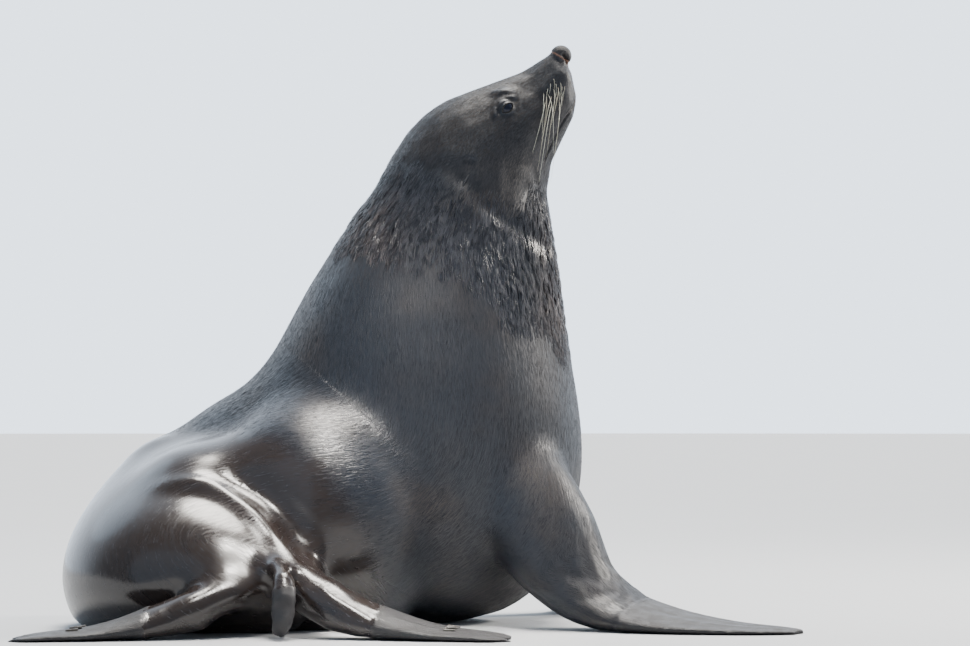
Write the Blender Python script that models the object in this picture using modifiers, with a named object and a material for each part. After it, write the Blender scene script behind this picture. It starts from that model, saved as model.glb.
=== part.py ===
"""A life-size still model of a male fur seal that sits up with its nose raised.

Its hind end is bent round to its right, so that the hind flippers lie out on that side. Metres, +Z up. The
chest faces +X and the animal's right side faces -Y. Shapes are laid out in a working frame whose floor is
Z = 0 and whose Y = 0 plane runs through the head and chest. One empty carries every piece to the final
frame, whose origin is the bottom centre of the whole model's box.
"""

import math

import bmesh
import bpy
import numpy as np
from mathutils import Matrix, Vector

# ---- driving sizes -------------------------------------------------------------------------------

GAP = 0.0004  # width of the thin cuts that part one piece from the next
VOXEL = 0.0045  # grain at which the flesh is fused
SMOOTHING = 6  # rounds of smoothing on the fused flesh
FLESH_TRIANGLES = 3000
HEAD_FLOOR = 0.66  # the head is all that lies above this height
HEAD_CARE = 0.0002  # how much more the head is spared than the trunk when faces are thinned out
TRUNK_RINGS = 96
TRUNK_POINTS = 56  # points round the trunk
LIMB_RINGS = 24
LIMB_POINTS = 22  # points round a limb
BLADE_RINGS = 12  # rings along a flipper's blade
SEAM_REACH = 1.35  # radius of the cut at a blade's root, as a share of the blade's half width
DIGITS = 5
DIGIT_SPAN = 0.94  # the outer digits lie just inside the blade's edges
WEB_SINK = 0.35  # how far the web lies below the digits, as a share of the blade's thickness
FORE_LOBE = 0.012  # how far each digit's flap runs past the web between digits
HIND_LOBE = 0.028
CLAW_SHARE = 0.62  # how far along the hind blade its nails lie
CLAW_ACROSS = (-0.45, 0.0, 0.45)
CLAW_LENGTH = 0.017
CLAW_RADIUS = 0.0030
EYE_RADIUS = 0.0150
BALL_SIDES = (12, 8)  # faces round and along each eyeball
PAD_SIDES = (14, 9)
EAR_RINGS = 7
EAR_POINTS = 12
FLOOR_SIZE = 3.0
SHARP_ANGLE = math.radians(40)

WET_FUR = (0.045, 0.036, 0.031)
BARE_SKIN = (0.035, 0.034, 0.037)
EYE_BLACK = (0.010, 0.008, 0.008)
CLAW_HORN = (0.060, 0.050, 0.042)

# Ribs of the trunk, nose to tail root: point on the back, point on the belly side, half width, and how far
# the widest level lies towards the belly side, as a share of the half depth.
RIBS = (
    ((0.236, 0.0, 0.854), (0.258, 0.0, 0.824), 0.012, 0.0),  # nose
    ((0.224, 0.0, 0.8505), (0.2625, 0.0, 0.804), 0.022, 0.1),
    ((0.201, 0.0, 0.8345), (0.2660, 0.0, 0.780), 0.034, 0.2),  # whisker pads
    ((0.169, 0.0, 0.8185), (0.2580, 0.0, 0.752), 0.043, 0.2),
    ((0.130, 0.0, 0.8035), (0.2425, 0.0, 0.718), 0.059, 0.1),  # brow
    ((0.080, 0.0, 0.7855), (0.2280, 0.0, 0.685), 0.076, 0.05),  # cranium
    ((0.033, 0.0, 0.7560), (0.2225, 0.0, 0.652), 0.091, 0.0),  # ears
    ((-0.006, 0.0, 0.7080), (0.2240, 0.0, 0.622), 0.106, 0.0),  # nape
    ((-0.043, 0.0, 0.6420), (0.2310, 0.0, 0.578), 0.124, 0.0),
    ((-0.087, 0.0, 0.5800), (0.2380, 0.0, 0.530), 0.145, 0.0),  # neck
    ((-0.132, 0.0, 0.5100), (0.2440, 0.0, 0.475), 0.167, 0.0),
    ((-0.168, 0.0, 0.4440), (0.2540, 0.0, 0.412), 0.186, 0.0),  # shoulders
    ((-0.198, 0.0, 0.3920), (0.2680, 0.0, 0.330), 0.199, 0.05),
    ((-0.230, 0.0, 0.3570), (0.2740, 0.0, 0.225), 0.205, 0.1),  # chest
    ((-0.265, 0.0, 0.3350), (0.2080, 0.0, 0.050), 0.202, 0.1),
    ((-0.305, 0.0, 0.3090), (0.0680, 0.0, -0.003), 0.196, 0.1),  # belly
    ((-0.348, -0.005, 0.2810), (-0.1000, 0.0, -0.006), 0.190, 0.15),
    ((-0.386, -0.044, 0.2620), (-0.2350, -0.035, -0.010), 0.182, 0.2),  # flank
    ((-0.345, -0.120, 0.2440), (-0.2900, -0.115, -0.010), 0.186, 0.22),  # pelvis
    ((-0.278, -0.200, 0.2200), (-0.2700, -0.205, -0.008), 0.184, 0.25),  # haunch
    ((-0.215, -0.275, 0.1820), (-0.2200, -0.270, 0.004), 0.146, 0.2),
    ((-0.178, -0.335, 0.1300), (-0.1800, -0.330, 0.030), 0.086, 0.0),  # tail root
)

# Stations along each limb: centre, leading edge, half thickness. The blade takes over at the arm's last.
FORE_ARM_RIGHT = (
    ((0.115, -0.095, 0.270), (0.200, -0.095, 0.300), 0.070),
    ((0.180, -0.135, 0.182), (0.268, -0.138, 0.202), 0.064),
    ((0.224, -0.165, 0.110), (0.299, -0.155, 0.127), 0.056),
    ((0.258, -0.185, 0.066), (0.313, -0.155, 0.082), 0.046),
    ((0.300, -0.200, 0.036), (0.337, -0.148, 0.051), 0.033),
    ((0.345, -0.218, 0.021), (0.377, -0.150, 0.031), 0.020),
)
FORE_BLADE_RIGHT = (
    ((0.345, -0.218, 0.021), (0.377, -0.150, 0.031), 0.020),
    ((0.393, -0.238, 0.013), (0.425, -0.168, 0.019), 0.014),
    ((0.443, -0.258, 0.008), (0.472, -0.194, 0.011), 0.010),
    ((0.493, -0.276, 0.005), (0.518, -0.222, 0.006), 0.007),
    ((0.536, -0.290, 0.004), (0.556, -0.253, 0.004), 0.0055),
    ((0.562, -0.298, 0.003), (0.573, -0.280, 0.003), 0.004),
)
FORE_ARM_LEFT = (
    ((0.115, 0.095, 0.270), (0.200, 0.095, 0.300), 0.070),
    ((0.180, 0.135, 0.182), (0.268, 0.138, 0.202), 0.064),
    ((0.224, 0.162, 0.110), (0.299, 0.155, 0.127), 0.056),
    ((0.256, 0.182, 0.066), (0.313, 0.166, 0.080), 0.046),
    ((0.284, 0.208, 0.036), (0.344, 0.188, 0.048), 0.033),
    ((0.302, 0.244, 0.021), (0.370, 0.220, 0.029), 0.020),
)
FORE_BLADE_LEFT = (
    ((0.302, 0.244, 0.021), (0.370, 0.220, 0.029), 0.020),
    ((0.317, 0.290, 0.013), (0.386, 0.268, 0.017), 0.014),
    ((0.331, 0.340, 0.008), (0.395, 0.320, 0.010), 0.010),
    ((0.343, 0.390, 0.005), (0.398, 0.373, 0.006), 0.007),
    ((0.352, 0.434, 0.004), (0.391, 0.423, 0.004), 0.0055),
    ((0.358, 0.461, 0.003), (0.377, 0.456, 0.003), 0.004),
)
HIND_LEG_RIGHT = (
    ((-0.170, -0.260, 0.080), (-0.170, -0.260, 0.125), 0.050),
    ((-0.132, -0.335, 0.074), (-0.120, -0.340, 0.114), 0.040),
    ((-0.100, -0.372, 0.055), (-0.084, -0.352, 0.082), 0.033),
    ((-0.065, -0.390, 0.036), (-0.055, -0.358, 0.054), 0.027),
    ((-0.020, -0.398, 0.023), (-0.015, -0.358, 0.035), 0.020),
)
HIND_BLADE_RIGHT = (
    ((-0.020, -0.398, 0.023), (-0.015, -0.358, 0.035), 0.020),
    ((0.020, -0.404, 0.015), (0.027, -0.358, 0.021), 0.015),
    ((0.060, -0.409, 0.009), (0.067, -0.356, 0.012), 0.010),
    ((0.097, -0.414, 0.006), (0.104, -0.358, 0.007), 0.0075),
    ((0.130, -0.418, 0.004), (0.136, -0.365, 0.004), 0.0055),
    ((0.143, -0.420, 0.003), (0.148, -0.386, 0.003), 0.004),
)
HIND_LEG_LEFT = (
    ((-0.195, -0.260, 0.080), (-0.195, -0.260, 0.122), 0.052),
    ((-0.203, -0.335, 0.071), (-0.199, -0.340, 0.109), 0.040),
    ((-0.240, -0.376, 0.052), (-0.232, -0.350, 0.078), 0.033),
    ((-0.287, -0.393, 0.035), (-0.277, -0.360, 0.053), 0.027),
    ((-0.335, -0.402, 0.023), (-0.330, -0.360, 0.034), 0.020),
)
HIND_BLADE_LEFT = (
    ((-0.335, -0.402, 0.023), (-0.330, -0.360, 0.034), 0.020),
    ((-0.374, -0.406, 0.015), (-0.368, -0.360, 0.021), 0.014),
    ((-0.412, -0.410, 0.009), (-0.406, -0.357, 0.012), 0.010),
    ((-0.449, -0.414, 0.006), (-0.443, -0.359, 0.007), 0.0075),
    ((-0.482, -0.417, 0.004), (-0.476, -0.366, 0.004), 0.0055),
    ((-0.494, -0.420, 0.003), (-0.490, -0.388, 0.003), 0.004),
)
TAIL = (
    ((-0.172, -0.315, 0.098), (-0.150, -0.315, 0.098), 0.022),
    ((-0.164, -0.365, 0.101), (-0.146, -0.365, 0.097), 0.017),
    ((-0.152, -0.405, 0.086), (-0.138, -0.407, 0.082), 0.013),
    ((-0.147, -0.428, 0.054), (-0.135, -0.428, 0.052), 0.010),
    ((-0.151, -0.434, 0.024), (-0.141, -0.434, 0.022), 0.008),
    ((-0.154, -0.435, 0.008), (-0.149, -0.435, 0.007), 0.005),
)
EAR = (
    ((0.112, 0.082, 0.694), (0.122, 0.082, 0.690), 0.005),
    ((0.106, 0.094, 0.683), (0.116, 0.094, 0.679), 0.0055),
    ((0.101, 0.104, 0.668), (0.110, 0.105, 0.664), 0.0050),
    ((0.097, 0.111, 0.652), (0.103, 0.112, 0.650), 0.0035),
    ((0.095, 0.115, 0.643), (0.098, 0.116, 0.642), 0.0020),
)

# Flesh that fills the fold where the flank meets the haunch: centre and radii.
FOLD_FILLS = (
    ((-0.318, -0.100, 0.220), (0.062, 0.055, 0.047)),
)

# Swellings of the trunk's right side, as centre and radii.
THIGH = ((-0.233, -0.240, 0.085), (0.140, 0.086, 0.110))
FLANK = ((-0.113, -0.130, 0.150), (0.185, 0.155, 0.190))
SMALL_OF_BACK = ((-0.275, -0.145, 0.172), (0.124, 0.125, 0.102))

# Soft bulges on the head: centre and radii, for the left side where y is not 0.
BULGES = (
    ((0.236, 0.015, 0.806), (0.024, 0.017, 0.026)),  # whisker pad
    ((0.158, 0.036, 0.782), (0.024, 0.018, 0.016)),  # brow
    ((0.150, 0.038, 0.716), (0.050, 0.042, 0.042)),  # cheek
    ((0.246, 0.000, 0.764), (0.017, 0.017, 0.022)),  # chin
)
EYE = (0.158, 0.0520, 0.7610)
NOSE_PAD = ((0.2415, 0.0, 0.8472), (0.0165, 0.0155, 0.0160))

# Thin cuts across the flesh: a point on each, its normal and its radius.
CUTS = (
    ((0.100, 0.0, 0.625), (0.30, 0.0, 0.95), 0.18),  # head from neck
    ((0.050, 0.0, 0.490), (0.10, 0.0, 1.00), 0.26),  # neck from chest
    ((-0.080, 0.0, 0.170), (0.78, 0.0, 0.60), 0.34),  # chest from abdomen
    ((-0.293, -0.073, 0.130), (0.68, 0.59, 0.45), 0.35),  # abdomen from haunches
    ((0.236, -0.172, 0.092), (0.55, -0.22, -0.72), 0.085),  # right forearm
    ((0.236, 0.168, 0.092), (0.55, 0.22, -0.72), 0.085),  # left forearm
    ((-0.095, -0.375, 0.052), (0.85, -0.40, -0.34), 0.060),  # right ankle
    ((-0.306, -0.399, 0.031), (-0.97, -0.15, -0.20), 0.052),  # left ankle
    ((-0.149, -0.422, 0.066), (0.10, -0.45, -0.89), 0.026),  # tail
)

# A point inside each fleshy piece, to tell which is which after the cuts.
FLESH_SEEDS = {
    "head": (0.160, 0.0, 0.750),
    "neck": (0.070, 0.0, 0.590),
    "chest": (0.080, 0.0, 0.280),
    "abdomen": (-0.220, 0.0, 0.160),
    "haunches": (-0.270, -0.190, 0.110),
    "fore_leg_right": (0.290, -0.190, 0.050),
    "fore_leg_left": (0.275, 0.195, 0.050),
    "hind_leg_right": (-0.058, -0.388, 0.036),
    "hind_leg_left": (-0.315, -0.396, 0.030),
    "tail": (-0.150, -0.430, 0.035),
}


# ---- tools ---------------------------------------------------------------------------------------


def clear_scene():
    for obj in list(bpy.data.objects):
        bpy.data.objects.remove(obj)


def new_collection(name):
    collection = bpy.data.collections.new(name)
    bpy.context.scene.collection.children.link(collection)
    return collection


def new_object(name, bm, collection):
    mesh = bpy.data.meshes.new(name)
    bm.to_mesh(mesh)
    bm.free()
    obj = bpy.data.objects.new(name, mesh)
    collection.objects.link(obj)
    return obj


def new_cutter(name, bm, collection):
    cutter = new_object(name, bm, collection)
    cutter.hide_render = True
    cutter.display_type = "WIRE"
    return cutter


def material(name, colour, roughness):
    made = bpy.data.materials.new(name)
    made.use_nodes = True
    shader = made.node_tree.nodes["Principled BSDF"]
    shader.inputs["Base Color"].default_value = (*colour, 1.0)
    shader.inputs["Roughness"].default_value = roughness
    shader.inputs["Metallic"].default_value = 0.0
    return made


def evaluated_mesh(obj):
    graph = bpy.context.evaluated_depsgraph_get()
    return bpy.data.meshes.new_from_object(obj.evaluated_get(graph), depsgraph=graph)


def cut(obj, cutter, solver="EXACT"):
    boolean = obj.modifiers.new(cutter.name, "BOOLEAN")
    boolean.operation = "DIFFERENCE"
    boolean.solver = solver
    boolean.object = cutter


def cut_flesh(flesh, cutter):
    """A cut in the fused flesh, whose thinned faces the exact solver can't always part."""
    cut(flesh, cutter, "MANIFOLD")


def mirrored(point):
    return (point[0], -point[1], point[2])


def smooth_rows(rows, count):
    """A natural cubic spline through rows of numbers, read at count places evenly spaced along it."""
    rows = np.array(rows, float)
    steps = np.linalg.norm(np.diff(rows[:, :3], axis=0), axis=1)
    knots = np.concatenate([[0.0], np.cumsum(steps)])
    last = len(rows) - 1
    system = np.eye(last + 1)
    right = np.zeros_like(rows)
    for i in range(1, last):
        before, after = steps[i - 1], steps[i]
        system[i, i - 1 : i + 2] = before, 2 * (before + after), after
        right[i] = 6 * ((rows[i + 1] - rows[i]) / after - (rows[i] - rows[i - 1]) / before)
    bends = np.linalg.solve(system, right)
    places = np.linspace(0.0, knots[-1], count)
    span = np.clip(np.searchsorted(knots, places, side="right") - 1, 0, last - 1)
    width = steps[span][:, None]
    left = (places - knots[span])[:, None]
    rest = width - left
    curve = (bends[span] * rest**3 + bends[span + 1] * left**3) / (6 * width)
    curve += (rows[span] / width - bends[span] * width / 6) * rest
    return curve + (rows[span + 1] / width - bends[span + 1] * width / 6) * left


def loft(rings):
    """A closed tube through rings of points, each end closed by a fan."""
    bm = bmesh.new()
    loops = [[bm.verts.new(point) for point in ring] for ring in rings]
    count = len(rings[0])
    for one, two in zip(loops, loops[1:]):
        for i in range(count):
            j = (i + 1) % count
            bm.faces.new((one[i], one[j], two[j], two[i]))
    for end in (0, -1):
        middle = bm.verts.new(np.mean(rings[end], axis=0))
        for i in range(count):
            bm.faces.new((loops[end][i], loops[end][(i + 1) % count], middle))
    bmesh.ops.recalc_face_normals(bm, faces=bm.faces)
    return bm


def ellipsoid(centre, radii, segments=24, rings=16):
    bm = bmesh.new()
    bmesh.ops.create_uvsphere(bm, u_segments=segments, v_segments=rings, radius=1.0)
    place = Matrix.Translation(centre) @ Matrix.Diagonal((*radii, 1.0))
    bmesh.ops.transform(bm, matrix=place, verts=bm.verts)
    return bm


# ---- shapes --------------------------------------------------------------------------------------


def trunk_rings():
    """Rings of the trunk from its ribs. A rib's back and belly points set the height of its ring."""
    rows = [(*np.add(back, belly) / 2, *back, wide, low) for back, belly, wide, low in RIBS]
    table = smooth_rows(rows, TRUNK_RINGS)
    centres, backs = table[:, :3], table[:, 3:6]
    wides, lows = table[:, 6], table[:, 7]
    ways = np.gradient(centres, axis=0)
    turn = np.linspace(0.0, 2 * math.pi, TRUNK_POINTS, endpoint=False)
    rings = []
    for centre, back, wide, low, way in zip(centres, backs, wides, lows, ways):
        up = back - centre
        side = np.cross(way, up)
        side *= wide / np.linalg.norm(side)
        sunk = np.sin(turn) - low * np.cos(turn) ** 2
        rings.append(centre + np.outer(np.cos(turn), side) + np.outer(sunk, up))
    return rings


def limb_table(stations, count):
    rows = [(*centre, *np.subtract(lead, centre), thick) for centre, lead, thick in stations]
    table = smooth_rows(rows, count)
    ways = np.gradient(table[:, :3], axis=0)
    ways /= np.linalg.norm(ways, axis=1)[:, None]
    ups = np.cross(ways, table[:, 3:6])
    ups /= np.linalg.norm(ups, axis=1)[:, None]
    ups *= np.sign(ups[:, 2:3].sum())
    return table[:, :3], table[:, 3:6], table[:, 6], ways, ups


def limb_rings(stations, count, webbed=0.0, lobes=0.0, points=LIMB_POINTS):
    """Rings of a limb. webbed sinks the web between the digits, and lobes draws the digits' tips out."""
    centres, leads, thicks, ways, ups = limb_table(stations, count)
    turn = np.linspace(0.0, 2 * math.pi, points, endpoint=False)
    across = np.cos(turn)
    digit = 0.5 + 0.5 * np.cos((across + 1) * (DIGITS - 1) * math.pi * DIGIT_SPAN)
    rings = []
    for i in range(count):
        share = i / (count - 1)
        height = np.sin(turn) * (1 - webbed * min(1.0, 2 * share) * (1 - digit))
        ring = centres[i] + np.outer(across, leads[i]) + np.outer(height * thicks[i], ups[i])
        rings.append(ring + np.outer(digit * lobes * share**4, ways[i]))
    return rings


def claw(stations, across, grow=0.0):
    """One nail lying on a digit: a tapered cone that dips into the digit at its root."""
    steps = 40
    centres, leads, thicks, ways, ups = limb_table(stations, steps + 1)
    i = round(CLAW_SHARE * steps)
    height = thicks[i] * math.sqrt(1 - across**2)
    root = Vector(centres[i] + leads[i] * across + ups[i] * (height + 0.0005))
    way, up = Vector(ways[i]), Vector(ups[i])
    lean = (way + 0.08 * up).normalized()
    bm = bmesh.new()
    root_radius = CLAW_RADIUS + grow
    tip_radius = 0.3 * CLAW_RADIUS + grow
    depth = CLAW_LENGTH + 2 * grow
    bmesh.ops.create_cone(
        bm, cap_ends=True, segments=10, radius1=root_radius, radius2=tip_radius, depth=depth
    )
    turn = lean.to_track_quat("Z", "Y").to_matrix().to_4x4()
    bmesh.ops.transform(bm, matrix=Matrix.Translation(root) @ turn, verts=bm.verts)
    return bm


def fused_flesh(cutters):
    """Trunk, head, legs and tail as one closed skin, smoothed where they meet, with few enough faces."""
    pieces = [
        loft(trunk_rings()),
        loft(limb_rings(FORE_ARM_RIGHT + FORE_BLADE_RIGHT[1:2], LIMB_RINGS)),
        loft(limb_rings(FORE_ARM_LEFT + FORE_BLADE_LEFT[1:2], LIMB_RINGS)),
        loft(limb_rings(HIND_LEG_RIGHT + HIND_BLADE_RIGHT[1:2], LIMB_RINGS)),
        loft(limb_rings(HIND_LEG_LEFT + HIND_BLADE_LEFT[1:2], LIMB_RINGS)),
        loft(limb_rings(TAIL, LIMB_RINGS)),
        ellipsoid(*NOSE_PAD),
        ellipsoid(*THIGH),
        ellipsoid(*FLANK),
        ellipsoid(*SMALL_OF_BACK),
    ]
    pieces += [ellipsoid(*fill) for fill in FOLD_FILLS]
    for centre, radii in BULGES:
        sides = {centre, mirrored(centre)}
        pieces += [ellipsoid(side, radii) for side in sorted(sides)]
    whole = bmesh.new()
    for piece in pieces:
        mesh = bpy.data.meshes.new("piece")
        piece.to_mesh(mesh)
        piece.free()
        whole.from_mesh(mesh)
        bpy.data.meshes.remove(mesh)
    flesh = new_object("flesh", whole, cutters)
    remesh = flesh.modifiers.new("fuse", "REMESH")
    remesh.mode = "VOXEL"
    remesh.voxel_size = VOXEL
    smooth = flesh.modifiers.new("smooth", "SMOOTH")
    smooth.factor = 0.5
    smooth.iterations = SMOOTHING
    fine = evaluated_mesh(flesh)
    flesh.modifiers.clear()
    flesh.data = fine
    weights = flesh.vertex_groups.new(name="coarse")
    for vertex in fine.vertices:
        weights.add([vertex.index], 0.5 if vertex.co.z > HEAD_FLOOR else 1.0, "REPLACE")
    triangles = sum(len(face.vertices) - 2 for face in fine.polygons)
    thin = flesh.modifiers.new("thin_out", "DECIMATE")
    thin.ratio = FLESH_TRIANGLES / triangles
    thin.vertex_group = "coarse"
    thin.vertex_group_factor = HEAD_CARE
    flesh.data = evaluated_mesh(flesh)
    flesh.modifiers.clear()
    flesh.vertex_groups.clear()
    return flesh


def floor_cutter(cutters):
    bm = bmesh.new()
    bmesh.ops.create_cube(bm, size=FLOOR_SIZE)
    bmesh.ops.translate(bm, vec=(0.0, 0.0, -FLOOR_SIZE / 2), verts=bm.verts)
    return new_cutter("floor", bm, cutters)


def thin_cut(name, point, normal, radius, cutters):
    bm = bmesh.new()
    bmesh.ops.create_cone(bm, cap_ends=True, segments=48, radius1=radius, radius2=radius, depth=GAP)
    turn = Vector(normal).to_track_quat("Z", "Y").to_matrix().to_4x4()
    bmesh.ops.transform(bm, matrix=Matrix.Translation(point) @ turn, verts=bm.verts)
    return new_cutter(name, bm, cutters)


def blade_cut(name, stations, cutters):
    """The thin cut where a limb's leg ends and its blade begins."""
    centres, leads, _, ways, _ = limb_table(stations, BLADE_RINGS)
    across, way = Vector(leads[0]), Vector(ways[0])
    return thin_cut(name, centres[0], way - way.project(across), across.length * SEAM_REACH, cutters)


def loose_pieces(mesh):
    """Each connected piece of a mesh, as its own bmesh."""
    whole = bmesh.new()
    whole.from_mesh(mesh)
    whole.verts.ensure_lookup_table()
    left = set(range(len(whole.verts)))
    found = []
    while left:
        start = left.pop()
        group, edge = {start}, [start]
        while edge:
            for link in whole.verts[edge.pop()].link_edges:
                for vertex in link.verts:
                    if vertex.index in left:
                        left.discard(vertex.index)
                        group.add(vertex.index)
                        edge.append(vertex.index)
        piece = whole.copy()
        piece.verts.ensure_lookup_table()
        outside = [vertex for vertex in piece.verts if vertex.index not in group]
        bmesh.ops.delete(piece, geom=outside, context="VERTS")
        found.append(piece)
    whole.free()
    return found


def nearest_piece(pieces, seed):
    """The piece whose middle is nearest to a seed."""

    def distance(piece):
        middle = sum((vertex.co for vertex in piece.verts), Vector()) / len(piece.verts)
        return (middle - Vector(seed)).length

    return min(pieces, key=distance)


# ---- assembly ------------------------------------------------------------------------------------


def make_small_pieces(flesh, parts, cutters, skin, eye_black):
    """Eyes, ears and nose pad, each in a socket cut from the flesh."""
    made = []
    ball_radii = (EYE_RADIUS,) * 3
    socket_radii = (EYE_RADIUS + GAP,) * 3
    for side, sign in (("right", -1), ("left", 1)):
        eye_at = (EYE[0], sign * EYE[1], EYE[2])
        ear = [((c[0], sign * c[1], c[2]), (e[0], sign * e[1], e[2]), t) for c, e, t in EAR]
        wider = [(c, np.add(e, GAP * (np.array(e) - c) / math.dist(c, e)), t + GAP) for c, e, t in ear]
        eye = new_object(f"eye_{side}", ellipsoid(eye_at, ball_radii, *BALL_SIDES), parts)
        socket = new_cutter(f"eye_socket_{side}", ellipsoid(eye_at, socket_radii, *BALL_SIDES), cutters)
        pinna = new_object(f"ear_{side}", loft(limb_rings(ear, EAR_RINGS, points=EAR_POINTS)), parts)
        slot = new_cutter(f"ear_slot_{side}", loft(limb_rings(wider, EAR_RINGS, points=EAR_POINTS)), cutters)
        cut_flesh(flesh, socket)
        cut_flesh(flesh, slot)
        eye.data.materials.append(eye_black)
        pinna.data.materials.append(skin)
        made += [eye, pinna]
    centre, radii = NOSE_PAD
    pad = new_object("nose_pad", ellipsoid(centre, radii, *PAD_SIDES), parts)
    bed = new_cutter("nose_bed", ellipsoid(centre, [r + GAP for r in radii], *PAD_SIDES), cutters)
    cut_flesh(flesh, bed)
    pad.data.materials.append(skin)
    return made + [pad]


def make_blade(name, stations, lobes, floor, parts, skin):
    """A flipper's blade, set off from its leg by a thin gap."""
    rings = limb_rings(stations, BLADE_RINGS, WEB_SINK, lobes)
    toward = np.mean(rings[1], axis=0) - np.mean(rings[0], axis=0)
    rings[0] = rings[0] + toward / np.linalg.norm(toward) * GAP
    blade = new_object(name, loft(rings), parts)
    cut(blade, floor)
    blade.data.materials.append(skin)
    return blade


def make_flippers(flesh, floor, parts, cutters, skin, horn):
    """The four blades, with three nails on each hind one, and the cuts where they leave the flesh."""
    blades = (
        ("fore_flipper_right", FORE_BLADE_RIGHT, FORE_LOBE, ()),
        ("fore_flipper_left", FORE_BLADE_LEFT, FORE_LOBE, ()),
        ("hind_flipper_right", HIND_BLADE_RIGHT, HIND_LOBE, CLAW_ACROSS),
        ("hind_flipper_left", HIND_BLADE_LEFT, HIND_LOBE, CLAW_ACROSS),
    )
    made = []
    for name, stations, lobes, nails in blades:
        cut_flesh(flesh, blade_cut(f"{name}_seam", stations, cutters))
        blade = make_blade(name, stations, lobes, floor, parts, skin)
        made.append(blade)
        for i, across in enumerate(nails, start=1):
            nail = new_object(f"{name}_claw_{i}", claw(stations, across), parts)
            nail.data.materials.append(horn)
            cut(blade, new_cutter(f"{name}_nail_bed_{i}", claw(stations, across, GAP), cutters))
            made.append(nail)
    return made


def make_flesh_nodes(flesh, parts, fur):
    """The fused flesh, parted by its cuts, as one object for each named piece."""
    fleshy = evaluated_mesh(flesh)
    bpy.data.objects.remove(flesh)
    pieces = loose_pieces(fleshy)
    made = []
    for name, seed in FLESH_SEEDS.items():
        piece = nearest_piece(pieces, seed).copy()
        bmesh.ops.recalc_face_normals(piece, faces=piece.faces)
        obj = new_object(name, piece, parts)
        obj.data.materials.append(fur)
        made.append(obj)
    return made


def carry_to_final_frame(made, parts, cutters):
    """Hangs every piece on one empty, which puts the origin at the bottom centre of the whole box."""
    bpy.context.view_layer.update()
    corners = np.array([obj.matrix_world @ Vector(corner) for obj in made for corner in obj.bound_box])
    low, high = corners.min(axis=0), corners.max(axis=0)
    root = bpy.data.objects.new("working_origin", None)
    parts.objects.link(root)
    root.location = (-(low[0] + high[0]) / 2, -(low[1] + high[1]) / 2, 0.0)
    for obj in made + list(cutters.objects):
        obj.parent = root


def main():
    clear_scene()
    parts = new_collection("fur_seal")
    cutters = new_collection("cutters")
    fur = material("wet_fur", WET_FUR, 0.35)
    skin = material("bare_skin", BARE_SKIN, 0.40)
    eye_black = material("eye_black", EYE_BLACK, 0.05)
    horn = material("claw_horn", CLAW_HORN, 0.40)

    floor = floor_cutter(cutters)
    flesh = fused_flesh(cutters)
    made = make_small_pieces(flesh, parts, cutters, skin, eye_black)
    for i, (point, normal, radius) in enumerate(CUTS, start=1):
        cut_flesh(flesh, thin_cut(f"thin_cut_{i}", point, normal, radius, cutters))
    made += make_flippers(flesh, floor, parts, cutters, skin, horn)
    cut_flesh(flesh, floor)
    made += make_flesh_nodes(flesh, parts, fur)
    for obj in made:
        obj.data.shade_smooth()
        obj.data.set_sharp_from_angle(angle=SHARP_ANGLE)
    carry_to_final_frame(made, parts, cutters)


main()
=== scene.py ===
"""The looks of a life-size male fur seal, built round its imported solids.

One skin stands for all the nodes of flesh. Over it lies a wet coat of mesh tufts, combed along the body
from nose to tail: long locks on the neck, and short flat fur elsewhere, which thins out on the haunches.
Eyes, nails, ears and whiskers are pieces of their own. Metres, +Z up; the chest faces +X, the right side -Y.
"""

import math

import bmesh
import bpy
import numpy as np
from mathutils import Matrix, Vector
from mathutils.bvhtree import BVHTree
from mathutils.kdtree import KDTree


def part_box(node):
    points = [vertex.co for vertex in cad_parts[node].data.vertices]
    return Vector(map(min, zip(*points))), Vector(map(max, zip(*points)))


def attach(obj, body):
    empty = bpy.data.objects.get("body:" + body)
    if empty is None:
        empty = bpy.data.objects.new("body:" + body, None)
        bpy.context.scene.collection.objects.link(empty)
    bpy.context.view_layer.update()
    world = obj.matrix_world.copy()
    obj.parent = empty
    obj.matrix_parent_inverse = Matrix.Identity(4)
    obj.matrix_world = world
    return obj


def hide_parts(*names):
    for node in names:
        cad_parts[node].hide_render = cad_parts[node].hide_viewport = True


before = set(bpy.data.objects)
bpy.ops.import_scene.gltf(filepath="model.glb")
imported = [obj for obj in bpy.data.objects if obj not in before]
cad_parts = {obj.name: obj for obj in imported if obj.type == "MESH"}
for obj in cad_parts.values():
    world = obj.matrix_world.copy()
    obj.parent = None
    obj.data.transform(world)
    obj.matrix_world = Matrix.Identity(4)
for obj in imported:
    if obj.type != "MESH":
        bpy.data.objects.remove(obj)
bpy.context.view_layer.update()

# ---- driving sizes ----

TRUNK = ("head", "neck", "chest", "abdomen", "haunches", "tail")
LIMBS = {
    "fore_right": ("fore_leg_right", "fore_flipper_right"),
    "fore_left": ("fore_leg_left", "fore_flipper_left"),
    "hind_right": ("hind_leg_right", "hind_flipper_right"),
    "hind_left": ("hind_leg_left", "hind_flipper_left"),
}
LEGS, FLIPPERS = zip(*LIMBS.values())
FLESH = TRUNK + ("nose_pad",) + tuple(node for pair in LIMBS.values() for node in pair)
SIDES = {"right": -1.0, "left": 1.0}  # and the way each faces along Y

SWELL = 0.0004  # each node is swollen by this much, so that it meets its neighbours across the thin cuts
EAR_SINK = 0.006  # how far the ears' solids are moved inwards before they join the skin
GRAIN = 0.0033  # size of the skin's faces before the head is made finer
BACK_OF_HEAD = 0.60  # height above which the skin is made finer
TRUNK_SCALE = 0.15  # the radius at which the coat's grain has its true width

MANE_DEPTH = 0.0042  # how far the longest locks stand off the skin
MANE_SINK = MANE_DEPTH - 0.001  # how much deeper the skin is sunk under them
FUR_DEPTH = 0.0012  # how far the skin is sunk under short fur
MANE_TOP, MANE_FOOT, MANE_SLOPE = 0.655, 0.545, 0.45  # heights of the mane's edges at x = 0, and their fall

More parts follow.
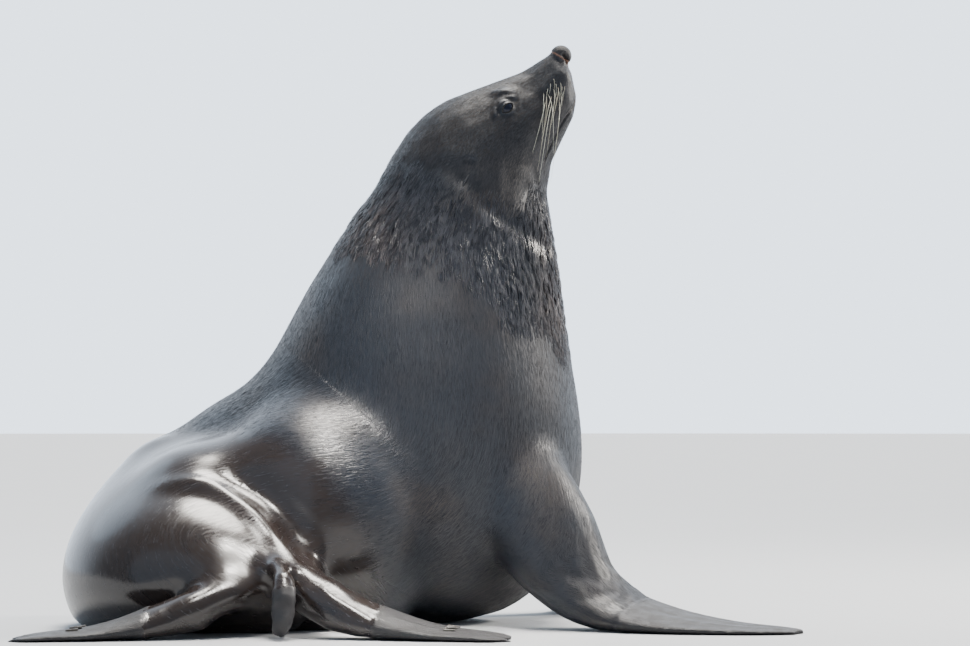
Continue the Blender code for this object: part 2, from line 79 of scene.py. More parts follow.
# Colours: fur, brown fur, bare hide, and the paler skin of the lips.
SLATE = (0.009, 0.012, 0.019)
UMBER = (0.024, 0.016, 0.012)
LEATHER = (0.009, 0.009, 0.012)
LIP = (0.260, 0.130, 0.080)

# The camera stands off the right side, a little above the floor, and looks slightly up.
CAMERA_PLACE = (0.1004, -5.0003, 0.315)
CAMERA_TILT = 91.495
CAMERA_LENS = 123.7

RANDOM = np.random.default_rng(7)


# ---- meshes as arrays ----


def unit(vectors):
    return vectors / np.maximum(np.linalg.norm(vectors, axis=-1, keepdims=True), 1e-12)


def ease(low, high, value):
    """Rises smoothly from 0 at low to 1 at high."""
    share = np.clip((value - low) / (high - low), 0.0, 1.0)
    return share * share * (3 - 2 * share)


def array_of(items, field, width, kind=np.float32):
    values = np.empty(len(items) * width, kind)
    items.foreach_get(field, values)
    return values.reshape(-1, width) if width > 1 else values


def mesh_points(mesh):
    return array_of(mesh.vertices, "co", 3).astype(float)


def set_points(mesh, points):
    mesh.vertices.foreach_set("co", points.astype(np.float32).ravel())
    mesh.update()


def point_normals(mesh):
    return array_of(mesh.vertices, "normal", 3).astype(float)


def add_field(mesh, name, values):
    """Stores a number or a vector for each point of a mesh, for its material to read."""
    kind, key = ("FLOAT", "value") if values.ndim == 1 else ("FLOAT_VECTOR", "vector")
    field = mesh.attributes.new(name, kind, "POINT")
    field.data.foreach_set(key, values.astype(np.float32).ravel())


def new_object(name, data, material=None):
    obj = bpy.data.objects.new(name, data)
    bpy.context.scene.collection.objects.link(obj)
    if material:
        data.materials.append(material)
    return obj


def mesh_of(bm, name):
    """A new mesh from a bmesh, which is freed."""
    mesh = bpy.data.meshes.new(name)
    bm.to_mesh(mesh)
    bm.free()
    return mesh


def mesh_from(name, points, faces):
    """A smooth-shaded mesh from an array of points and an array of faces that all have as many corners."""
    mesh = bpy.data.meshes.new(name)
    count, corners = faces.shape
    mesh.vertices.add(len(points))
    mesh.vertices.foreach_set("co", points.astype(np.float32).ravel())
    mesh.loops.add(count * corners)
    mesh.loops.foreach_set("vertex_index", faces.astype(np.int32).ravel())
    mesh.polygons.add(count)
    mesh.polygons.foreach_set("loop_start", np.arange(0, count * corners, corners, dtype=np.int32))
    mesh.update(calc_edges=True)
    mesh.shade_smooth()
    return mesh


class Net:
    """Which points of a mesh are joined by an edge, for smoothing and spreading values over it."""

    def __init__(self, mesh):
        edges = array_of(mesh.edges, "vertices", 2, np.int32)
        size = len(mesh.vertices)
        here = np.concatenate([edges[:, 0], edges[:, 1]])
        order = np.argsort(here, kind="stable")
        self.there = np.concatenate([edges[:, 1], edges[:, 0]])[order]
        self.first = np.searchsorted(here[order], np.arange(size))
        self.count = np.bincount(here, minlength=size).astype(float)

    def mean(self, values):
        """The mean of each point's neighbours."""
        sums = np.add.reduceat(values[self.there], self.first, axis=0)
        return sums / (self.count[:, None] if values.ndim > 1 else self.count)

    def spread(self, values, rounds):
        for _ in range(rounds):
            values = (values + self.mean(values)) / 2
        return values

    def iron(self, points, rounds, amount, back=-0.515):
        """Takes out facets and steps but keeps the volume: each round smooths, then swells back."""
        for _ in range(rounds):
            for step in (0.5, back):
                points = points + step * amount[:, None] * (self.mean(points) - points)
        return points

    def relax(self, points, amount, rounds):
        """Plain smoothing, which fills hollows, of the points with some amount; the others stay."""
        chosen = np.flatnonzero(amount > 0.01)
        counts = self.count[chosen].astype(int)
        firsts = np.concatenate([[0], np.cumsum(counts)[:-1]])
        links = np.arange(counts.sum()) + np.repeat(self.first[chosen] - firsts, counts)
        beside = self.there[links]
        points = points.copy()
        for _ in range(rounds):
            means = np.add.reduceat(points[beside], firsts, axis=0) / counts[:, None]
            points[chosen] += 0.6 * amount[chosen, None] * (means - points[chosen])
        return points


# ---- lines through the body ----


def middle(node):
    low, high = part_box(node)
    return np.array((low + high) / 2)


def nearest_on(line, points):
    """The number of the nearest of a line's points, for each of many points."""
    gaps = (line**2).sum(axis=1)[None] - 2 * points @ line.T
    return gaps.argmin(axis=1)


def curve_through(points, count=200):
    """A smooth curve through points, at even steps (Catmull-Rom)."""
    points = np.array(points, float)
    ends = np.vstack([2 * points[0] - points[1], points, 2 * points[-1] - points[-2]])
    found = []
    for i in range(1, len(ends) - 2):
        before, start, stop, after = ends[i - 1 : i + 3]
        for t in np.linspace(0, 1, 40, endpoint=False):
            bend = 2 * before - 5 * start + 4 * stop - after
            turn = 3 * (start - stop) + after - before
            found.append(0.5 * (2 * start + (stop - before) * t + bend * t**2 + turn * t**3))
    found = np.array(found + [points[-1]])
    reach = np.concatenate([[0], np.cumsum(np.linalg.norm(np.diff(found, axis=0), axis=1))])
    places = np.linspace(0, reach[-1], count)
    return np.stack([np.interp(places, reach, found[:, axis]) for axis in range(3)], axis=1)


class Spine:
    """A curve with a frame that is carried along it without twist."""

    def __init__(self, points, side):
        self.line = curve_through(points)
        steps = np.linalg.norm(np.diff(self.line, axis=0), axis=1)
        self.reach = np.concatenate([[0], np.cumsum(steps)])
        self.ways = unit(np.gradient(self.line, axis=0))
        side = np.array(side, float)
        sides = []
        for way in self.ways:
            side = side - way * (side @ way)
            side = side / np.linalg.norm(side)
            sides.append(side)
        self.sides = np.array(sides)
        self.ups = np.cross(self.ways, self.sides)

    def nearest(self, points):
        """For each point: how far along it lies, its offset to the side and up, and the curve's way there."""
        place = nearest_on(self.line, points)
        offset = points - self.line[place]
        way = self.ways[place]
        along = self.reach[place] + (offset * way).sum(axis=1)
        across = (offset * self.sides[place]).sum(axis=1)
        up = (offset * self.ups[place]).sum(axis=1)
        return along, across, up, way


def trunk_spine():
    points = [middle(node) for node in ("nose_pad",) + TRUNK]
    return Spine([(x, 0.0, z) for x, _, z in points], side=(0, 1, 0))


def limb_spine(leg, blade):
    """The middle of a limb from its root to its tip, read slice by slice from its solids."""
    cloud = np.vstack([mesh_points(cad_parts[node].data) for node in (leg, blade)])
    way = unit(middle(blade) - middle(leg))
    reach = cloud @ way
    marks = np.linspace(reach.min(), reach.max(), 7)
    centres = []
    for low, high in zip(marks, marks[1:]):
        slab = cloud[(reach >= low) & (reach <= high)]
        centres.append((slab.min(axis=0) + slab.max(axis=0)) / 2)
    return Spine(centres, side=np.cross(way, (0, 0, 1)))


def path_distance(points, path):
    """Distance from each point to a smooth path, and how far along it, as a share, the nearest place lies."""
    line = curve_through(path, 60)
    nearest = nearest_on(line, points)
    return np.linalg.norm(points - line[nearest], axis=1), nearest / (len(line) - 1)


# ---- the skin ----


def fused_solids():
    """All the nodes of flesh as one closed mesh of even grain, with the eyes' and ears' places filled."""
    whole = bmesh.new()
    shifts = {f"ear_{side}": Vector((0, -sign * EAR_SINK, 0)) for side, sign in SIDES.items()}
    for node in FLESH + tuple(f"eye_{side}" for side in SIDES) + tuple(shifts):
        part = bmesh.new()
        part.from_mesh(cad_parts[node].data)
        bmesh.ops.remove_doubles(part, verts=part.verts, dist=1e-5)
        bmesh.ops.recalc_face_normals(part, faces=part.faces)
        part.normal_update()
        for vertex in part.verts:
            vertex.co += vertex.normal * SWELL + shifts.get(node, Vector())
        mesh = mesh_of(part, node)
        whole.from_mesh(mesh)
        bpy.data.meshes.remove(mesh)
    mesh = mesh_of(whole, "skin")
    obj = new_object("skin", mesh)
    remesh = obj.modifiers.new("fuse", "REMESH")
    remesh.mode = "VOXEL"
    remesh.voxel_size = GRAIN
    graph = bpy.context.evaluated_depsgraph_get()
    fused = bpy.data.meshes.new_from_object(obj.evaluated_get(graph), depsgraph=graph)
    obj.modifiers.clear()
    obj.data = fused
    bpy.data.meshes.remove(mesh)
    return obj


def part_shares(points):
    """For each node of flesh, the share (0 or 1) of each point that lies on it."""
    corners, faces, owners = [], [], []
    for node in FLESH:
        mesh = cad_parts[node].data
        faces += [[len(corners) + i for i in polygon.vertices] for polygon in mesh.polygons]
        owners += [FLESH.index(node)] * len(mesh.polygons)
        corners += [vertex.co.copy() for vertex in mesh.vertices]
    tree = BVHTree.FromPolygons(corners, faces)
    found = np.array([owners[tree.find_nearest(Vector(point))[2]] for point in points])
    return {node: (found == i).astype(float) for i, node in enumerate(FLESH)}


def distance_to(points, nodes):
    """Distance from each point to the nearest corner of some nodes."""
    corners = np.vstack([mesh_points(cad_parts[node].data) for node in nodes])
    find = tree_of(corners).find
    return np.fromiter((find(point)[2] for point in points), float, len(points))


def refine(mesh, chosen):
    """Halves the faces at the chosen points."""
    bm = bmesh.new()
    bm.from_mesh(mesh)
    bm.verts.ensure_lookup_table()
    edges = [edge for edge in bm.edges if chosen[edge.verts[0].index] and chosen[edge.verts[1].index]]
    bmesh.ops.subdivide_edges(bm, edges=edges, cuts=1, use_grid_fill=True)
    bm.to_mesh(mesh)
    bm.free()


NOSE = middle("nose_pad")
EYES = {side: middle(f"eye_{side}") for side in SIDES}
EYE_RADIUS = (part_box("eye_right")[1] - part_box("eye_right")[0]).z / 2
SNOUT_WAY = np.array((0.516, 0.0, 0.856))  # the way the tip of the snout points
SNOUT_END = 0.0163  # radius of the snout where the nose pad begins
FINE_NOSE, FINE_EYE, FINE_MOUTH = 0.045, 0.036, 0.016  # reach of the finest skin round each

# Paths on the right side of the head, as offsets from the nose pad's middle.
MOUTH = (
    (0.026, 0.000, -0.063),
    (0.022, -0.014, -0.072),
    (0.002, -0.031, -0.106),
    (-0.016, -0.036, -0.144),
    (-0.027, -0.042, -0.167),
)
JOWL = (
    (-0.170, -0.105, -0.150),
    (-0.158, -0.110, -0.182),
    (-0.106, -0.114, -0.232),
    (-0.046, -0.092, -0.273),
    (0.000, -0.030, -0.300),
)
NOSTRIL = ((0.001, -0.0135, 0.003), (0.008, -0.012, -0.003), (0.013, -0.007, -0.012))
CHIN = ((0.018, -0.010, -0.082), (0.003, -0.018, -0.110), (-0.010, -0.022, -0.140))
LIP_FRONT = ((0.004, 0.000, -0.012), (0.0085, 0.000, -0.021), (0.016, 0.000, -0.042), (0.026, 0.000, -0.063))

# Grooves of the face: path, width and depth, where a negative depth is a ridge.
FACE_LINES = (
    (MOUTH, 0.0020, 0.0036),
    (CHIN, 0.0090, -0.0012),
    (NOSTRIL, 0.0026, 0.0075),
    (JOWL, 0.0150, 0.0024),
)

# Places of the trunk that are smoothed until they flow into one another: middle and reach.
BLENDS = (
    ((-0.365, -0.130, 0.250), 0.060),
    ((-0.310, -0.150, 0.265), 0.070),
    ((-0.280, -0.200, 0.240), 0.065),
    ((-0.250, -0.200, 0.260), 0.070),
    ((-0.190, -0.165, 0.315), 0.060),
    ((-0.120, -0.180, 0.325), 0.060),
    ((-0.050, -0.200, 0.290), 0.065),
    ((0.005, -0.205, 0.210), 0.060),
    ((0.025, -0.205, 0.120), 0.055),
)
IRON_ROUNDS = 130
BLEND_ROUNDS = 450
TAIL_SWELL = 0.006  # makes up for what the smoothing takes off the tail and its root

# Folds of the right haunch, as seen from the side (x and z): a ridge from the hip down to the tail, and the
# hollow above it. Then each one's width, and its depth as for FACE_LINES.
CREST = ((-0.400, 0.208), (-0.345, 0.218), (-0.285, 0.212), (-0.225, 0.176), (-0.180, 0.130), (-0.145, 0.078))
CROOK = ((-0.290, 0.240), (-0.225, 0.212), (-0.170, 0.166), (-0.130, 0.108), (-0.108, 0.060))
FOLDS = ((CREST, 0.017, -0.0075), (CROOK, 0.022, 0.0090))


def on_side(path, sign):
    """A path beside the nose pad, on the right side (sign -1) or mirrored to the left."""
    return [NOSE + np.array((x, -sign * y, z)) for x, y, z in path]


def on_flank(points, path):
    """A path on the skin's right side, from the places of its points in side view."""
    near_enough = 0.008
    found = []
    for x, z in path:
        near = points[np.hypot(points[:, 0] - x, points[:, 2] - z) < near_enough]
        found.append(near[near[:, 1].argmin()])
    return found


def carve(points, normals, path, width, depth, fade=0.12):
    """Sinks a soft groove along a path, or raises a ridge where depth is negative; it fades at both ends."""
    gap, share = path_distance(points, path)
    ends = ease(0, fade, share) * ease(1, 1 - fade, share)
    return points - normals * (depth * ends * np.exp(-((gap / width) ** 2)))[:, None]


def soften(mesh):
    """Irons the facets out and melts the trunk's joints, but spares the nose, the limbs and the tail."""
    points, net = mesh_points(mesh), Net(mesh)
    shares = part_shares(points)
    head = net.spread(shares["head"] + shares["nose_pad"], 10)
    pad = net.spread(shares["nose_pad"], 6)
    thin = net.spread(sum(shares[blade] for blade in FLIPPERS) + shares["tail"], 8)
    legs = net.spread(sum(shares[leg] for leg in LEGS), 8)
    amount = np.clip(1 - 0.1 * head - 0.85 * thin - 0.4 * legs - 0.8 * pad, 0.1, 1)
    points = net.iron(points, IRON_ROUNDS, amount)
    blend = [np.exp(-((np.linalg.norm(points - place, axis=1) / reach) ** 2)) for place, reach in BLENDS]
    blend.append(0.6 * net.spread(shares["haunches"], 20))
    blend.append(0.2 * net.spread(shares["chest"] + shares["abdomen"] + shares["neck"], 20))
    calm = np.max(blend, axis=0) * (1 - thin) * ease(0.01, 0.04, points[:, 2])
    calm *= ease(0.02, 0.10, distance_to(points, ("tail",) + LEGS))
    points = net.relax(points, calm, BLEND_ROUNDS)
    set_points(mesh, points)
    return points


def fold_haunch(mesh, points):
    """Gives the tail its thickness back, and lays the folds of the right haunch."""
    stout = ease(0.040, 0.0, distance_to(points, ["tail"]))
    points = points + point_normals(mesh) * TAIL_SWELL * stout[:, None]
    set_points(mesh, points)
    normals = point_normals(mesh)
    for path, width, depth in FOLDS:
        points = carve(points, normals, on_flank(points, path), width, depth, 0.3)
    set_points(mesh, points)


def refine_head(mesh):
    """Makes the skin's faces finer on the head, and finer again round the nose, the eyes and the mouth."""
    refine(mesh, mesh_points(mesh)[:, 2] > BACK_OF_HEAD)
    points = mesh_points(mesh)
    close = np.linalg.norm(points - NOSE, axis=1) < FINE_NOSE
    for side, sign in SIDES.items():
        close |= np.linalg.norm(points - EYES[side], axis=1) < FINE_EYE
        close |= path_distance(points, on_side(MOUTH, sign))[0] < FINE_MOUTH
    refine(mesh, close)
    points = mesh_points(mesh)
    finer = (points[:, 2] > BACK_OF_HEAD - 0.02).astype(float)
    set_points(mesh, Net(mesh).iron(points, 8, finer, -0.52))


def build_skin():
    skin = fused_solids()
    points = soften(skin.data)
    fold_haunch(skin.data, points)
    refine_head(skin.data)
    return skin


def mane_share(points):
    """How much of a mane a point has: most at throat and nape, none on face and body, with ragged edges."""
    x, y, z = points.T
    ragged = 0.012 * np.sin(70 * y + 2 + 20 * x) + 0.008 * np.sin(150 * x - 90 * y)
    top = MANE_TOP - MANE_SLOPE * x + 0.045 * ease(0.12, 0.20, x) + ragged
    foot = MANE_FOOT - MANE_SLOPE * x - 0.9 * ragged
    share = ease(foot - 0.075, foot + 0.055, z) * ease(top + 0.065, top - 0.055, z)
    edge = np.maximum(ease(0.07, 0.17, x), ease(0.02, -0.07, x))
    return share * (0.35 + 0.65 * edge)


def regions(mesh, net):
    """Fields over the skin that the coat and the materials share."""
    points = mesh_points(mesh)
    shares = part_shares(points)
    x, z = points[:, 0], points[:, 2]
    field = {"mane": mane_share(points)}
    field["head"] = net.spread(shares["head"] + shares["nose_pad"], 14)
    reach, aside = snout_reach(points)
    near_tip = np.linalg.norm(aside, axis=1) < 0.03
    field["pad"] = ease(-0.0012, 0.0004, reach) * near_tip
    field["bare"] = net.spread(sum(shares[blade] for blade in FLIPPERS) + shares["tail"], 30)
    low_back = ease(0.02, -0.10, x) * ease(0.40, 0.30, z)
    hind = distance_to(points, ("haunches", "tail", "hind_leg_right", "hind_leg_left"))
    field["sleek"] = ease(0.12, 0.01, hind)
    field["wet"] = low_back * (1 - field["sleek"])
    for name, (leg, flipper) in LIMBS.items():
        field[name] = net.spread(shares[leg] + shares[flipper], 24)
    field["limb"] = sum(field[name] for name in LIMBS)
    lip = path_distance(points, on_side(LIP_FRONT, 1))[0]
    edge = np.exp(-(((reach + 0.0022) / 0.0016) ** 2)) * near_tip
    field["lip"] = np.maximum(np.exp(-((lip / 0.0085) ** 2)), edge) * (1 - field["pad"])
    return field


def lie_of_coat(points, normals, field):
    """The way the fur lies at each point, its coordinates on trunk and limb, and its place on an unwrap."""
    along, across, up, way = trunk_spine().nearest(points)
    girth = np.maximum(np.hypot(across, up), 0.6 * TRUNK_SCALE)
    trunk = np.stack([along, across / girth * TRUNK_SCALE, up / girth * TRUNK_SCALE], axis=1)
    unwrap = np.stack([along, np.arctan2(across, up) / (2 * math.pi) + 0.5], axis=1)
    flow = way * (1 - field["limb"])[:, None]
    limb = np.zeros_like(points)
    most = np.zeros(len(points))
    for name, pair in LIMBS.items():
        along, across, up, way = limb_spine(*pair).nearest(points)
        flow += way * field[name][:, None]
        nearer = field[name] > most
        most = np.maximum(most, field[name])
        limb[nearer] = np.stack([along, across, up], axis=1)[nearer]
    flow -= normals * (flow * normals).sum(axis=1, keepdims=True)
    return unit(flow), trunk, limb, unwrap


def eye_frame(side):
    """The eye's outward way, and its long and short ways across the lids; the short one points up."""
    sign = SIDES[side]
    out = unit(np.array((0.22, sign * 0.93, 0.22)))
    long_way = np.array((0.72, 0.0, 0.69))
    long_way = unit(long_way - out * (long_way @ out))
    return out, long_way, -sign * np.cross(out, long_way)


# The opening between the lids: half its length, and its height above and below the line between its corners.
LID_LENGTH, LID_ABOVE, LID_BELOW = 0.0108, 0.0050, 0.0072
LID_SKIN = 0.0012  # how far the lids stand off the eyeball
EYE_RIM = 0.0010  # radius of the wet rim along the lids
LID_HALVES = ((1, LID_ABOVE), (-1, LID_BELOW))
LID_ARCS = [(sign, rise, (LID_LENGTH**2 + rise**2) / (2 * rise)) for sign, rise in LID_HALVES]


def lid_gap(p, q):
    """Distance outside the almond-shaped opening of the lids, negative inside it."""
    gap = np.full(np.shape(p), -1.0)
    for sign, rise, radius in LID_ARCS:
        gap = np.maximum(gap, np.hypot(p, q + sign * (radius - rise)) - radius)
    return gap


def lid_distance(points, side):
    """How far outside the opening of one eye's lids each point lies; far off behind the eye."""
    out, long_way, short_way = eye_frame(side)
    offset = points - EYES[side]
    return np.where(offset @ out > -0.004, lid_gap(offset @ long_way, offset @ short_way), 1.0)


def set_lids(points, side):
    """Draws the skin over the eyeball as two lids, and turns it in behind the ball where they open."""
    out, long_way, short_way = eye_frame(side)
    offset = points - EYES[side]
    p, q, r = offset @ long_way, offset @ short_way, offset @ out
    near = (np.linalg.norm(offset, axis=1) < 0.045) & (r > -0.004)
    flat = np.hypot(p, q)
    gap = lid_gap(p, q)
    height = np.sqrt(np.maximum((EYE_RADIUS + LID_SKIN) ** 2 - flat**2, 0.0))
    lid = 0.5 * (height + r + np.sqrt((height - r) ** 2 + 0.0020**2))
    moved = r + (lid - r) * ease(0.0160, 0.0060, gap)
    above = ease(-0.003, 0.008, q)
    moved -= 0.0009 * np.exp(-(((gap - 0.0042) / 0.0012) ** 2)) * above
    moved += 0.0026 * np.exp(-(((gap - 0.0110) / 0.0045) ** 2)) * above
    inside = gap < 0
    behind = np.sqrt(np.maximum((EYE_RADIUS - 0.004) ** 2 - flat**2, 0.0))
    moved[inside] = np.minimum(r, behind)[inside]
    result = points.copy()
    result[near] += (out[None] * (moved - r)[:, None])[near]
    return result


def snout_reach(points):
    """How far past the nose pad's middle each point lies along the snout, and its offset from the axis."""
    offset = points - NOSE
    reach = offset @ SNOUT_WAY
    return reach, offset - reach[:, None] * SNOUT_WAY


def fill_snout(points):
    """Makes the snout as wide as the nose pad, with the pad's edge as a slight step."""
    reach, aside = snout_reach(points)
    distance = np.linalg.norm(aside, axis=1)
    wanted = SNOUT_END * ease(-0.050, -0.022, reach) * (reach < -0.0008) * (distance < 0.03)
    short = np.maximum(wanted - distance, 0) / np.maximum(distance, 1e-4)
    return points + aside * np.minimum(short, 2.0)[:, None]


def sculpt_head(mesh):
    points = fill_snout(mesh_points(mesh))
    for side, sign in SIDES.items():
        points = set_lids(points, side)
        set_points(mesh, points)
        normals = point_normals(mesh)
        for path, width, depth in FACE_LINES:
            points = carve(points, normals, on_side(path, sign), width, depth)
    set_points(mesh, points)


# ---- materials ----


class Shader:
    """Short names for the nodes that the materials and the world are made of."""

    def __init__(self, name, kind="materials", surface="Principled BSDF"):
        self.owner = getattr(bpy.data, kind).new(name)
        self.owner.use_nodes = True
        self.tree = self.owner.node_tree
        self.surface = self.tree.nodes[surface]

    def feed(self, socket, value):
        if isinstance(value, bpy.types.NodeSocket):
            self.tree.links.new(value, socket)
        else:
            socket.default_value = (*value, 1.0) if socket.type == "RGBA" else value

    def node(self, kind, output, inputs, **settings):
        """One output of a new node. Inputs and output go by name or number."""
        made = self.tree.nodes.new(kind)
        for key, value in settings.items():
            setattr(made, key, value)
        for key, value in inputs.items():
            self.feed(made.inputs[key], value)
        return made.outputs[output]

    def field(self, name, vector=False):
        return self.node("ShaderNodeAttribute", "Vector" if vector else "Fac", {}, attribute_name=name)

    def math(self, operation, *values):
        return self.node("ShaderNodeMath", 0, dict(enumerate(values)), operation=operation)

    def stretch(self, vector, scale):
        return self.node("ShaderNodeVectorMath", 0, {0: vector, 1: scale}, operation="MULTIPLY")

    def place(self):
        return self.node("ShaderNodeNewGeometry", "Position", {})

    def noise(self, vector, scale=1.0, detail=2.0, roughness=0.5):
        inputs = {"Vector": vector, "Scale": scale, "Detail": detail, "Roughness": roughness}
        return self.node("ShaderNodeTexNoise", "Fac", inputs)

    def cells(self, vector, scale, feature="F1"):
        inputs = {"Vector": vector, "Scale": scale}
        return self.node("ShaderNodeTexVoronoi", "Distance", inputs, feature=feature)

    def ramp(self, value, low, high, out_low=0.0, out_high=1.0):
        inputs = dict(enumerate((value, low, high, out_low, out_high)))
        return self.node("ShaderNodeMapRange", 0, inputs, interpolation_type="SMOOTHSTEP")

    def mix(self, share, one, two):
        """A mix of two colours: the node's inputs 6 and 7."""
        return self.node("ShaderNodeMix", 2, {0: share, 6: one, 7: two}, data_type="RGBA")

    def mix_ways(self, share, one, two):
        """A mix of two vectors: the node's inputs 4 and 5."""
        return self.node("ShaderNodeMix", 1, {0: share, 4: one, 5: two}, data_type="VECTOR")

    def bump(self, height, distance, strength=1.0, **under):
        """A bump, on top of the one given as Normal."""
        inputs = {"Height": height, "Distance": distance, "Strength": strength, **under}
        return self.node("ShaderNodeBump", 0, inputs)

    def finish(self, **inputs):
        for name, value in inputs.items():
            self.feed(self.surface.inputs[name.replace("_", " ")], value)
        return self.owner


def skin_material():
    """Short wet fur on the body, and bare leather on the flippers and nose."""
    s = Shader("wet_skin")
    lie = s.field("lie", vector=True)
    limb_lie = s.field("limb_lie", vector=True)
    limb, bare, pad = s.field("limb"), s.field("bare"), s.field("pad")
    ragged = s.math("SUBTRACT", s.noise(s.place(), 120.0, 4.0, 0.7), 0.5)
    edge = s.math("MULTIPLY", ragged, s.ramp(bare, 0.02, 0.2, 0.0, 1.6))
    leather = s.math("MAXIMUM", s.ramp(s.math("ADD", bare, edge), 0.25, 0.80), s.ramp(pad, 0.3, 0.7))
    sleek, wet = s.ramp(s.field("sleek"), 0.15, 0.85), s.field("wet")
    streaks = s.noise(s.stretch(lie, (70.0, 800.0, 800.0)), detail=3.0)
    locks = s.noise(s.stretch(lie, (16.0, 150.0, 150.0)), detail=3.0, roughness=0.6)
    patches = s.noise(s.place(), 9.0, 3.0)
    fur = s.mix(s.ramp(patches, 0.40, 0.75, 0.0, 0.8), SLATE, UMBER)
    fur = s.mix(s.math("MULTIPLY", sleek, 0.8), fur, UMBER)
    fur = s.mix(s.ramp(streaks, 0.40, 0.80, 0.0, 0.45), fur, (0.026, 0.026, 0.031))
    # painted shade: darker in the hollows between the clumps, where the locks' bump is low
    fur = s.mix(s.ramp(locks, 0.50, 0.20, 0.0, 0.45), fur, (0.005, 0.006, 0.008))
    fur = s.mix(s.math("MULTIPLY", s.field("lip"), 0.9), fur, LIP)
    cracks = s.cells(s.stretch(limb_lie, (140.0, 260.0, 260.0)), 1.0, "DISTANCE_TO_EDGE")
    mottle = s.noise(s.place(), 55.0, 4.0)
    hide = s.mix(s.ramp(mottle, 0.3, 0.7), LEATHER, (0.016, 0.014, 0.015))
    # painted shade: the hide is darker along the cracks, where the bump sinks into creases
    hide = s.mix(s.ramp(cracks, 0.10, 0.0, 0.0, 0.5), hide, (0.008, 0.008, 0.009))
    colour = s.mix(leather, fur, hide)
    height = s.math("MULTIPLY", streaks, s.ramp(sleek, 0.0, 1.0, 1.0, 0.15))
    strength = s.math("SUBTRACT", s.math("ADD", wet, 1.0), s.math("MULTIPLY", limb, 0.7))
    hairs = s.bump(s.math("MULTIPLY", height, strength), 0.0008, 0.5)
    height = s.math("MULTIPLY", locks, s.ramp(s.math("ADD", sleek, limb), 0.0, 1.0, 1.0, 0.08))
    hairs = s.bump(height, 0.0020, 0.35, Normal=hairs)
    rays = s.noise(s.stretch(limb_lie, (5.0, 70.0, 70.0)), detail=2.0)
    creases = s.bump(rays, 0.0040, 0.5)
    creases = s.bump(s.ramp(cracks, 0.0, 0.12), 0.0005, 0.45, Normal=creases)
    pebbles = s.cells(s.place(), 700.0)
    creases = s.bump(pebbles, 0.0005, 0.6, Normal=creases)
    rough = s.ramp(streaks, 0.3, 0.8, 0.40, 0.54)
    rough = s.math("SUBTRACT", rough, s.math("MULTIPLY", sleek, 0.24))
    rough = s.math("SUBTRACT", rough, s.math("MULTIPLY", wet, 0.18))
    rough = s.ramp(leather, 0.0, 1.0, rough, s.ramp(mottle, 0.3, 0.7, 0.52, 0.68))
    return s.finish(
        Base_Color=colour,
        Roughness=rough,
        Normal=s.mix_ways(leather, hairs, creases),
        Specular_IOR_Level=0.55,
    )


def lock_material():
    """Long wet hair: dark, each lock with its own tone, and browner towards the tips as painted sunlight
    where the locks face the light.
    """
    s = Shader("wet_locks")
    tone, tip, sun_and_lip_brown = s.field("tone"), s.field("tip"), s.field("sun_and_lip_brown")
    base = s.mix(tone, (0.007, 0.008, 0.012), (0.040, 0.042, 0.052))
    # painted highlight: the brown of sunlit tips
    brown = s.mix(tone, (0.035, 0.022, 0.016), (0.150, 0.095, 0.060))
    colour = s.mix(s.math("MULTIPLY", sun_and_lip_brown, s.ramp(tip, 0.1, 0.9, 0.3, 1.0)), base, brown)
    rough = s.ramp(tone, 0.0, 1.0, 0.20, 0.32)
    return s.finish(Base_Color=colour, Roughness=rough, Coat_Weight=0.35, Coat_Roughness=0.12)


def fur_material():
    """Short wet fur, much like the skin under it, with painted sunlight in brown on the crown, throat and
    nape, and the lips' own brown.
    """
    s = Shader("wet_fur")
    tone, sun_and_lip_brown = s.field("tone"), s.field("sun_and_lip_brown")
    base = s.mix(tone, (0.004, 0.006, 0.010), (0.022, 0.023, 0.029))
    # the brown is painted sunlight, except on the lips, where it is their own colour
    colour = s.mix(sun_and_lip_brown, base, s.mix(tone, (0.020, 0.014, 0.010), (0.060, 0.040, 0.028)))
    rough = s.ramp(tone, 0.0, 1.0, 0.46, 0.62)
    return s.finish(Base_Color=colour, Roughness=rough, Specular_IOR_Level=0.35)


def eye_material():
    s = Shader("eye_black")
    cloud = s.noise(s.place(), 400.0, 2.0)
    colour = s.mix(cloud, (0.003, 0.004, 0.010), (0.009, 0.012, 0.026))
    return s.finish(Base_Color=colour, Roughness=0.08, Specular_IOR_Level=0.30)


def rim_material():
    s = Shader("eye_rim")
    grain = s.noise(s.place(), 700.0, 3.0)
    colour = s.mix(grain, (0.004, 0.004, 0.004), (0.011, 0.009, 0.008))
    dents = s.bump(grain, 0.0003, 0.5)
    return s.finish(Base_Color=colour, Roughness=0.45, Normal=dents, Specular_IOR_Level=0.3)


def horn_material():
    s = Shader("claw_horn")
    rings = s.noise(s.stretch(s.place(), (900.0, 120.0, 120.0)), detail=3.0)
    colour = s.mix(rings, (0.020, 0.017, 0.015), (0.085, 0.070, 0.055))
    rough = s.ramp(rings, 0.2, 0.8, 0.25, 0.45)
    return s.finish(Base_Color=colour, Roughness=rough, Normal=s.bump(rings, 0.0002, 0.5))


def whisker_material():
    s = Shader("whisker")
    tip, tone = s.field("tip"), s.field("tone")
    colour = s.mix(tone, (0.50, 0.46, 0.34), (0.74, 0.74, 0.62))
    colour = s.mix(s.ramp(tip, 0.0, 0.10), (0.20, 0.17, 0.13), colour)
    grain = s.noise(s.place(), 500.0, 2.0)
    return s.finish(Base_Color=colour, Roughness=s.ramp(grain, 0.2, 0.8, 0.25, 0.4), Coat_Weight=0.3)


def floor_material():
    s = Shader("pale_floor")
    cloud = s.noise(s.place(), 2.0, 4.0)
    colour = s.mix(cloud, (0.52, 0.53, 0.54), (0.54, 0.55, 0.56))
    return s.finish(Base_Color=colour, Roughness=0.8, Specular_IOR_Level=0.2)


# ---- the coat ----

